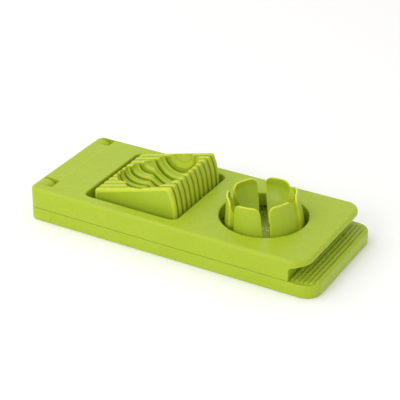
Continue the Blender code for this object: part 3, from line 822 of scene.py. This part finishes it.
class EGGSLICER_OT_lid_moulding(bpy.types.Operator):
    """Build the lid: plate, skirt, two rimmed openings, lip and hinge notches"""

    bl_idname = "egg_slicer.lid_moulding"
    bl_label = "Lid Moulding"

    def execute(self, context):
        sizes = context.scene.egg_slicer.sizes
        lid = lid_shell(sizes)
        top = LID[1].z
        on_top = sharp_edges(lid, lambda co: co.z > top - REACH / 10 and is_window_edge(co))
        round_edges(lid, on_top, sizes.opening_edge, 4)
        lip_under = sharp_edges(
            lid, lambda co: abs(co.z - (top - LIP_THICKNESS)) < REACH / 10
            and co.x > along(WALL_END[0]) + 0.0035)
        round_edges(lid, lip_under, LIP_UNDER, 4)
        fine = sharp_edges(
            lid, lambda co: co.z > top - 0.0005 and co.x < along(NOTCH_END) + REACH / 10
            and -0.0385 < co.y < 0.0435)
        round_edges(lid, fine, sizes.fine_edge * 0.6, 2)
        holes = screw_holes(SLICER_FRAME_SCREWS + WEDGER_FRAME_SCREWS, LID[0].z, REACH)
        lid = cut(unite(lid, *raised_highlight_lines(sizes)), pin_bore(), *holes)
        finish_piece("lid_moulding", lid, LID_BODY, plastic_material("Lime Plastic Lid", 0.35),
                     "lime_plastic", "lid_frame")
        return {"FINISHED"}


# Slicer cradle

RIB_LEFT = 0.0438
RIB_SWEEP = 0.1043
RIB_TOP = (0.0270, 0.0433)
RIB_TOP_END = 0.1040
RIB_HALF = 0.0303
RIB_OUTER_ROUND = 0.0022
# Share of painted highlight on the rounds along each rib's sides.
RIB_HIGHLIGHT = 0.4
RIB_CORNER = 0.0024
LOW_CORNER = 0.8 * RIB_CORNER
HOLLOW_COLUMNS = 44
RIB_FOOT = 0.0112
ACROSS_EGG = (0.0794, 0.0214, 0.0290)
ALONG_EGG = (0.0669, 0.0208, 0.0188, 0.0122)


def rib_top(x):
    """Height of the cradle's sloping top."""
    share = (x - along(RIB_LEFT)) / (RIB_TOP_END - RIB_LEFT)
    return RIB_TOP[0] + (RIB_TOP[1] - RIB_TOP[0]) * share


def across_radius(y):
    """Radius at Y of the egg hollow that lies across the ribs."""
    return ACROSS_EGG[1] * math.sqrt(max(0.0, 1 - (abs(y) / ACROSS_EGG[2]) ** 3))


def across_floor(x, y):
    """Height of the floor of the hollow across the ribs."""
    middle, radius = along(ACROSS_EGG[0]), across_radius(y)
    if abs(x - middle) >= radius:
        return rib_top(x)
    drop = 0.95 * math.sqrt(radius ** 2 - (x - middle) ** 2)
    return min(rib_top(x), rib_top(middle) - drop)


def along_floor(x, y):
    """Height of the floor of the hollow along the ribs; it runs into the other hollow."""
    middle, length, width, depth = ALONG_EGG
    offset = min(0.0, x - along(middle)) / length
    share = 1 - offset ** 2 - (y / width) ** 2
    inside = share > 0 and x < along(ACROSS_EGG[0])
    return rib_top(x) - depth * math.sqrt(share) if inside else rib_top(x)


def rib_floor(x, y):
    return min(across_floor(x, y), along_floor(x, y))


def rib_right(z):
    """X of the cradle's right end, which follows the sweep of the lid's opening."""
    return HINGE.x + math.sqrt(RIB_SWEEP ** 2 - (z - HINGE.z) ** 2)


def hollow_ends(y):
    """X where the hollows begin and end on the sloping top, for one Y."""
    middle, length, width, _ = ALONG_EGG
    radius = max(REACH / 2, across_radius(y))
    start = along(ACROSS_EGG[0]) - radius * 0.966
    if abs(y) < width:
        start = min(start, along(middle) - length * math.sqrt(1 - (y / width) ** 2))
    return start, along(ACROSS_EGG[0]) + radius


def rib_corner(middle, radius, start):
    """Points of a rib's top corner, which is round about an X on the sloping top."""
    turn = arc((middle, 0), radius, start, start + 90, 6)
    return [(x, rib_top(x) - radius + rise) for x, rise in turn]


def rib_outline(y):
    """Top of a rib at one Y, from the right end to the left, as (x, z) points."""
    left, right = along(RIB_LEFT), along(RIB_TOP_END)
    start, end = hollow_ends(y)
    points = rib_corner(right - RIB_CORNER, RIB_CORNER, 0) + [(end, rib_top(end))]
    for index in range(1, HOLLOW_COLUMNS):
        x = end + (start - end) * (1 - math.cos(math.pi * index / HOLLOW_COLUMNS)) / 2
        points.append((x, rib_floor(x, y)))
    points.append((start, rib_top(start)))
    return points + rib_corner(left + LOW_CORNER, LOW_CORNER, 90)


def rib_ring(y, inset):
    """Whole outline of a rib at one Y, drawn in at its top and ends by an inset."""
    left, right = along(RIB_LEFT), along(RIB_TOP_END)
    bottom, top = RIB_FOOT - REACH / 2, RIB_TOP[1] - RIB_CORNER
    points = [(left + inset, y, bottom)]
    for step in range(6):
        z = bottom + (top - bottom) * step / 6
        points.append((rib_right(z) - inset, y, z))
    for x, z in rib_outline(y):
        share = (x - left) / (right - left)
        points.append((x + inset * (1 - 2 * share), y, z - inset))
    return points


def rib(low_y, high_y, low_radius, high_radius):
    """Rib between two Y positions, lofted with a round along each of its two sides; the rounds get a
    painted highlight.
    """
    steps = 5
    turns = [(1 - math.cos(a), 1 - math.sin(a)) for a in
             (math.pi / 2 * step / steps for step in range(steps + 1))]
    stations = [(low_y + low_radius * y, low_radius * inset) for y, inset in turns]
    stations += [(high_y - high_radius * y, high_radius * inset) for y, inset in reversed(turns)]
    edge = [RIB_HIGHLIGHT] * steps
    return loft([rib_ring(y, inset) for y, inset in stations], edge + [0.0] + edge)


class EGGSLICER_OT_cradle(bpy.types.Operator):
    """Build the slicing cradle: ribs with the crossed egg hollows, on a foot plate"""

    bl_idname = "egg_slicer.cradle"
    bl_label = "Slicer Cradle"

    def execute(self, context):
        sizes = context.scene.egg_slicer.sizes
        half = (sizes.rib_pitch - sizes.rib_slot) / 2
        last = sizes.rib_count - 1
        ribs = []
        for index in range(sizes.rib_count):
            y = (index - last / 2) * sizes.rib_pitch
            low, high = (y - half, sizes.rib_edge), (y + half, sizes.rib_edge)
            if index == 0:
                low = (-RIB_HALF, RIB_OUTER_ROUND)
            elif index == last:
                high = (RIB_HALF, RIB_OUTER_ROUND)
            ribs.append(rib(low[0], high[0], low[1], high[1]))
        foot = block((along(RIB_LEFT) - 0.0004, -RIB_HALF, CRADLE[0].z),
                     (rib_right(RIB_FOOT) - 0.0002, RIB_HALF, RIB_FOOT), 0.0003, 2)
        foot = cut(foot, *screw_holes(CRADLE_SCREWS, CRADLE[0].z - REACH, REACH / 2))
        cradle = gather([foot, *ribs])
        finish_piece("cradle_ribs", cradle, BASE_BODY, plastic_material("Lime Plastic Cradle", 0.25),
                     "lime_plastic", "slicer_cradle")
        return {"FINISHED"}


# Wedger cup

RING_RADIUS = 0.0258
RING_DRAFT = 0.13
FINGER_TOP = 0.0402
FINGER_SLOPE = 0.075
FINGER_CORNER = 0.0048
FINGER_RIM = 0.0016
RIM_RADIUS = 0.00070
CUP_FLOOR = 0.0117
CUP_FOOT_RADIUS = 0.0278
BOWL_RADIUS = (0.0232, 0.0240)
BOWL_CENTRE = 0.0385


def ring_centre(z):
    """X of the ring's centre: the ring leans along the arc that the wires swing on."""
    radius = CUP_X - HINGE.x
    return HINGE.x + math.sqrt(radius ** 2 - (z - HINGE.z) ** 2)


def ring_radius(z):
    return RING_RADIUS - RING_DRAFT * (z - LID[1].z)


def bowl_radius(z):
    """Radius of the egg-shaped bowl inside the fingers."""
    across, down = BOWL_RADIUS
    share = max(0.0, 1 - ((BOWL_CENTRE - z) / down) ** 2) if z < BOWL_CENTRE else 1.0
    return across * math.sqrt(share)


def rim_pull(from_side, from_top):
    """How far a finger's faces draw in near its rim, so that the rim is rounded."""
    if max(from_side, from_top) < FINGER_CORNER:
        inside = FINGER_CORNER - math.hypot(FINGER_CORNER - from_side, FINGER_CORNER - from_top)
    else:
        inside = min(from_side, from_top)
    past = min(RIM_RADIUS, max(0.0, RIM_RADIUS - inside))
    return RIM_RADIUS - math.sqrt(RIM_RADIUS ** 2 - past ** 2)


def finger(index, sizes):
    """Leaning finger, thin at the top and thick at the foot, between straight-sided gaps."""
    middle = math.tau / sizes.finger_count * (index + 0.5)
    foot = CUP_FLOOR - REACH
    bm = bmesh.new()
    bmesh.ops.create_grid(bm, x_segments=30, y_segments=34, size=1)
    inner = bmesh.ops.extrude_face_region(bm, geom=bm.faces[:])["geom"]
    for vert in (item for item in inner if isinstance(item, bmesh.types.BMVert)):
        vert.co.z = 1

    def half_angle(radius):
        gap = min(1.0, sizes.finger_gap / 2 / radius)
        return max(0.004, math.pi / sizes.finger_count - math.asin(gap))

    top_radius = ring_radius(FINGER_TOP)
    top_half = half_angle(top_radius) * top_radius
    rounded = {}
    for vert in bm.verts:
        across = math.sin(vert.co.x * math.pi / 2)
        up, depth = math.sin((vert.co.y + 1) * math.pi / 4), vert.co.z
        angle = middle + across * top_half / top_radius
        lean = ring_centre(FINGER_TOP) - CUP_X + top_radius * math.cos(angle)
        top = FINGER_TOP + FINGER_SLOPE * lean
        past = max(0.0, abs(across) * top_half - (top_half - FINGER_CORNER))
        corner = FINGER_CORNER - math.sqrt(max(0.0, FINGER_CORNER ** 2 - past ** 2))
        z = foot + up * (top - corner - foot)
        pull = rim_pull((1 - abs(across)) * top_half, top - z)
        outside = ring_radius(z)
        inside = max(sizes.finger_gap * 1.08, min(bowl_radius(z), outside - FINGER_RIM))
        radius = outside - pull + (inside + 2 * pull - outside) * depth
        angle = middle + across * half_angle(radius)
        vert.co = (ring_centre(z) + radius * math.cos(angle), radius * math.sin(angle), z)
        rounded[vert] = pull / RIM_RADIUS if z > LID[1].z - 0.002 else 0.0
    bmesh.ops.recalc_face_normals(bm, faces=bm.faces)
    # Painted highlight on the rounded rim faces near the top, by how far each face draws in.
    highlight_amount = bm.faces.layers.float.new("painted_highlight")
    for face in bm.faces:
        face[highlight_amount] = min(1.0, 1.5 * sum(rounded[vert] for vert in face.verts) / len(face.verts))
    return bm


class EGGSLICER_OT_cup(bpy.types.Operator):
    """Build the wedging cup: leaning fingers with an egg-shaped bowl, on a round foot"""

    bl_idname = "egg_slicer.cup"
    bl_label = "Wedger Cup"

    def execute(self, context):
        sizes = context.scene.egg_slicer.sizes
        low, edge = CUP[0].z, 0.0003
        foot = turned([(0, low), (CUP_FOOT_RADIUS - edge, low), (CUP_FOOT_RADIUS, low + edge),
                       (CUP_FOOT_RADIUS, CUP_FLOOR - edge), (CUP_FOOT_RADIUS - edge, CUP_FLOOR),
                       (0, CUP_FLOOR)], (CUP_X, 0, 0), 72)
        cup = unite(foot, *[finger(i, sizes) for i in range(sizes.finger_count)])
        cup = cut(cup, *screw_holes(CUP_SCREWS, CUP[0].z - REACH, REACH / 2))
        finish_piece("finger_cup", cup, BASE_BODY, plastic_material("Lime Plastic Cup", 0.25),
                     "lime_plastic", "wedger_cup")
        return {"FINISHED"}


# Wire frames, wires, pin and screws

FRAME_MARGIN = 0.0060
RING_MARGIN = 0.0064
POST_RING = 0.0322
POST_RADIUS = 0.0016
HEAD = (0.0019, 0.0011)
SHANK = 0.0010
THREAD_PITCH = 0.0008


def screw_recesses(nodes):
    """Counterbored holes for screws that come up from below."""
    tools = []
    for node in nodes:
        x, y, _ = middle_of(node)
        bottom = SLICER_FRAME[0].z
        wide, step = HEAD[0] + 0.0003, HEAD[1] + 0.0003
        tools.append(turned(
            [(0, -REACH), (wide, -REACH), (wide, step), (SCREW_HOLE, step),
             (SCREW_HOLE, 4 * REACH), (0, 4 * REACH)], (x, y, bottom), 24))
    return tools


def clamping_frame(window, margin, screws):
    """Plate round one opening, with its edges rounded and recesses for its screws."""
    bottom, top = SLICER_FRAME[0].z, SLICER_FRAME[1].z
    bm = window(margin, bottom, top)
    round_edges(bm, sharp_edges(bm, lambda co: True, 60), 0.0004, 2)
    return cut(bm, window(0, bottom - REACH, top + REACH), *screw_recesses(screws))


class EGGSLICER_OT_wire_frames(bpy.types.Operator):
    """Build the two frames that clamp the wires under the lid"""

    bl_idname = "egg_slicer.wire_frames"
    bl_label = "Wire Frames"

    def execute(self, context):
        plastic = plastic_material("Lime Plastic Frames", 0.15)
        square = clamping_frame(square_window, FRAME_MARGIN, SLICER_FRAME_SCREWS)
        finish_piece("square_wire_frame", square, LID_BODY, plastic, "lime_plastic",
                     "slicer_wire_frame")
        ring = clamping_frame(round_window, RING_MARGIN, WEDGER_FRAME_SCREWS)
        posts = []
        for node, degrees in (("wedge_wire_2", 60), ("wedge_wire_3", -60)):
            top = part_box(node)[0].z - 0.0003
            for side in (-1, 1):
                x = CUP_X + side * POST_RING * math.cos(math.radians(degrees))
                y = side * POST_RING * math.sin(math.radians(degrees))
                posts.append(rod(POST_RADIUS, (x, y, SLICER_FRAME[0].z + REACH), (x, y, top), 24))
        ring = unite(ring, *posts)
        finish_piece("round_wire_frame", ring, LID_BODY, plastic, "lime_plastic",
                     "wedger_wire_frame")
        return {"FINISHED"}


def taut_wire(node):
    """Round wire with a small crimped bead at each end, along its CAD node's length."""
    cad = frame["nodes"][node].data
    low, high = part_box(node)
    middle = (low + high) / 2
    radius = (high.z - low.z) / 2
    far = max((vert.co - middle for vert in cad.vertices), key=lambda offset: offset.length)
    direction = Vector((far.x, far.y, 0)).normalized()
    if direction.x < 0:
        direction.negate()
    half = max(abs((vert.co - middle).dot(direction)) for vert in cad.vertices)
    bead, bead_length = radius * 2.2, radius * 5
    points = [(0, -half), (bead * 0.7, -half), (bead, -half + radius),
              (bead, -half + bead_length), (radius, -half + bead_length + radius)]
    points += [(r, -z) for r, z in reversed(points)]
    wire = turned(points, (0, 0, 0), 16)
    turn = direction.to_track_quat("Z", "Y").to_matrix().to_4x4()
    bmesh.ops.transform(wire, matrix=Matrix.Translation(middle) @ turn, verts=wire.verts)
    return wire


class EGGSLICER_OT_wires(bpy.types.Operator):
    """Build the ten slicing wires and the three wedging wires"""

    bl_idname = "egg_slicer.wires"
    bl_label = "Cutting Wires"

    def execute(self, context):
        steel = steel_material("Wire Steel", 0.22, 1500.0)
        names = sorted(name for name in frame["nodes"]
                       if name.startswith(("slicer_wire_", "wedge_wire_"))
                       and name != "slicer_wire_frame")
        for name in names:
            finish_piece(f"taut_{name}", taut_wire(name), LID_BODY, steel, "wire_steel", name)
        return {"FINISHED"}


class EGGSLICER_OT_hinge_pin(bpy.types.Operator):
    """Build the hinge pin with chamfered ends"""

    bl_idname = "egg_slicer.hinge_pin"
    bl_label = "Hinge Pin"

    def execute(self, context):
        middle = middle_of("hinge_pin")
        radius = (PIN[1].z - PIN[0].z) / 2
        pin = rod(radius, (middle.x, PIN[0].y, middle.z), (middle.x, PIN[1].y, middle.z), 40)
        round_edges(pin, sharp_edges(pin, lambda co: True, 60), 0.0003, 3)
        finish_piece("steel_hinge_pin", pin, BASE_BODY, steel_material("Pin Steel", 0.25, 900.0),
                     "wire_steel", "hinge_pin")
        return {"FINISHED"}


def pan_screw(node):
    """Pan-head screw, head down, with a cross recess and a blunt thread."""
    low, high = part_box(node)
    x, y, _ = (low + high) / 2
    length = high.z - low.z
    radius, height = HEAD
    points = [(0, 0), (radius * 0.55, 0.00003), (radius * 0.85, 0.00020), (radius, 0.00055),
              (radius, height), (SHANK, height)]
    turns = int((length - height - 0.0012) / THREAD_PITCH)
    for index in range(turns):
        z = height + 0.0003 + index * THREAD_PITCH
        points += [(SHANK * 0.8, z), (SHANK * 0.8, z + 0.0002), (SHANK, z + 0.0004)]
    points += [(SHANK * 0.75, length - 0.0008), (0, length)]
    screw = turned(points, (x, y, low.z), 28)
    recess = []
    for index in range(2):
        arm = block((-0.0011, -0.00024, -REACH), (0.0011, 0.00024, 0.00065))
        turn = Matrix.Rotation(math.radians(20 + 90 * index), 4, "Z")
        bmesh.ops.transform(arm, matrix=Matrix.Translation((x, y, low.z)) @ turn, verts=arm.verts)
        recess.append(arm)
    return cut(screw, *recess)


class EGGSLICER_OT_screws(bpy.types.Operator):
    """Build the screws that hold the cradle, the cup and the wire frames"""

    bl_idname = "egg_slicer.screws"
    bl_label = "Screws"

    def execute(self, context):
        steel = steel_material("Screw Steel", 0.34, 700.0)
        groups = ((BASE_BODY, CRADLE_SCREWS + CUP_SCREWS),
                  (LID_BODY, SLICER_FRAME_SCREWS + WEDGER_FRAME_SCREWS))
        for body, nodes in groups:
            for node in nodes:
                finish_piece(f"pan_{node}", pan_screw(node), body, steel, "screw_steel", node)
        return {"FINISHED"}


# Studio

CAMERA_TARGET = (-0.00085, 0.00272, 0.0200)


def soft_light(name, power, size, location, target):
    light = bpy.data.lights.new(name, "AREA")
    light.shape = "RECTANGLE"
    light.size, light.size_y = size
    light.energy = power
    lamp = bpy.data.objects.new(name, light)
    lamp.location = location
    lamp.rotation_euler = (Vector(target) - Vector(location)).to_track_quat("-Z", "Y").to_euler()
    bpy.context.scene.collection.objects.link(lamp)


class EGGSLICER_OT_studio(bpy.types.Operator):
    """Build the pale floor, the soft lights and the camera"""

    bl_idname = "egg_slicer.studio"
    bl_label = "Studio"

    def execute(self, context):
        settings = context.scene.egg_slicer
        studio = settings.studio
        sheet = bmesh.new()
        bmesh.ops.create_grid(sheet, x_segments=24, y_segments=24, size=4)
        floor = to_object("studio_floor", sheet)
        floor.data.materials.append(self.floor_material(settings.finish.floor))

        world = bpy.data.worlds.new("White Tent")
        world.use_nodes = True
        sky = world.node_tree.nodes["Background"]
        sky.inputs["Color"].default_value = (1.0, 1.0, 1.0, 1.0)
        sky.inputs["Strength"].default_value = studio.sky
        context.scene.world = world
        context.scene.view_settings.view_transform = "Standard"

        target = (0, 0, 0.02)
        soft_light("overhead_softbox", studio.key, (0.7, 0.6), (-0.60, -0.10, 0.85), target)
        soft_light("front_softbox", studio.fill, (0.7, 0.5), (-0.15, -0.95, 0.50), target)

        camera_data = bpy.data.cameras.new("product_camera")
        camera_data.lens = studio.lens
        camera_data.sensor_width = 36
        camera_data.clip_start, camera_data.clip_end = 0.05, 50
        camera = bpy.data.objects.new("product_camera", camera_data)
        back = Vector((math.sin(studio.azimuth) * math.cos(studio.elevation),
                       -math.cos(studio.azimuth) * math.cos(studio.elevation),
                       math.sin(studio.elevation)))
        aim = Vector(CAMERA_TARGET)
        camera.location = aim + back * studio.distance
        camera.rotation_euler = (-back).to_track_quat("-Z", "Y").to_euler()
        context.scene.collection.objects.link(camera)
        context.scene.camera = camera
        return {"FINISHED"}

    def floor_material(self, colour):
        """Matt white card with a trace of grain."""
        material = bpy.data.materials.new("Studio Card")
        material.use_nodes = True
        tree = material.node_tree
        shader = tree.nodes["Principled BSDF"]
        place = tree.nodes.new("ShaderNodeTexCoord").outputs["Object"]
        rough = spread(tree, noise(tree, place, 500, 3), 0.3, 0.7, 0.8, 0.95)
        tree.links.new(rough, shader.inputs["Roughness"])
        shader.inputs["Base Color"].default_value = colour
        return material


class EGGSLICER_PT_panel(bpy.types.Panel):
    """Buttons and settings of the egg slicer"""

    bl_idname = "EGGSLICER_PT_panel"
    bl_label = "Egg Slicer"
    bl_space_type = "VIEW_3D"
    bl_region_type = "UI"
    bl_category = "Egg Slicer"

    def draw(self, context):
        settings = context.scene.egg_slicer
        buttons = self.layout.column(align=True)
        for operator in OPERATORS:
            buttons.operator(operator.bl_idname)
        for group in (settings.sizes, settings.finish, settings.studio):
            box = self.layout.box()
            for name in group.__annotations__:
                box.prop(group, name)


OPERATORS = (
    EGGSLICER_OT_studio,
    EGGSLICER_OT_base_moulding,
    EGGSLICER_OT_lid_moulding,
    EGGSLICER_OT_cradle,
    EGGSLICER_OT_cup,
    EGGSLICER_OT_wire_frames,
    EGGSLICER_OT_wires,
    EGGSLICER_OT_hinge_pin,
    EGGSLICER_OT_screws,
)
CLASSES = (EggSlicerSizes, EggSlicerFinish, EggSlicerStudio, EggSlicerSettings,
           *OPERATORS, EGGSLICER_PT_panel)


def register():
    for cls in CLASSES:
        bpy.utils.register_class(cls)
    bpy.types.Scene.egg_slicer = PointerProperty(type=EggSlicerSettings)


def unregister():
    del bpy.types.Scene.egg_slicer
    for cls in reversed(CLASSES):
        bpy.utils.unregister_class(cls)


def main():
    register()
    for operator in OPERATORS:
        group, name = operator.bl_idname.split(".")
        getattr(getattr(bpy.ops, group), name)()


if __name__ == "__main__":
    main()
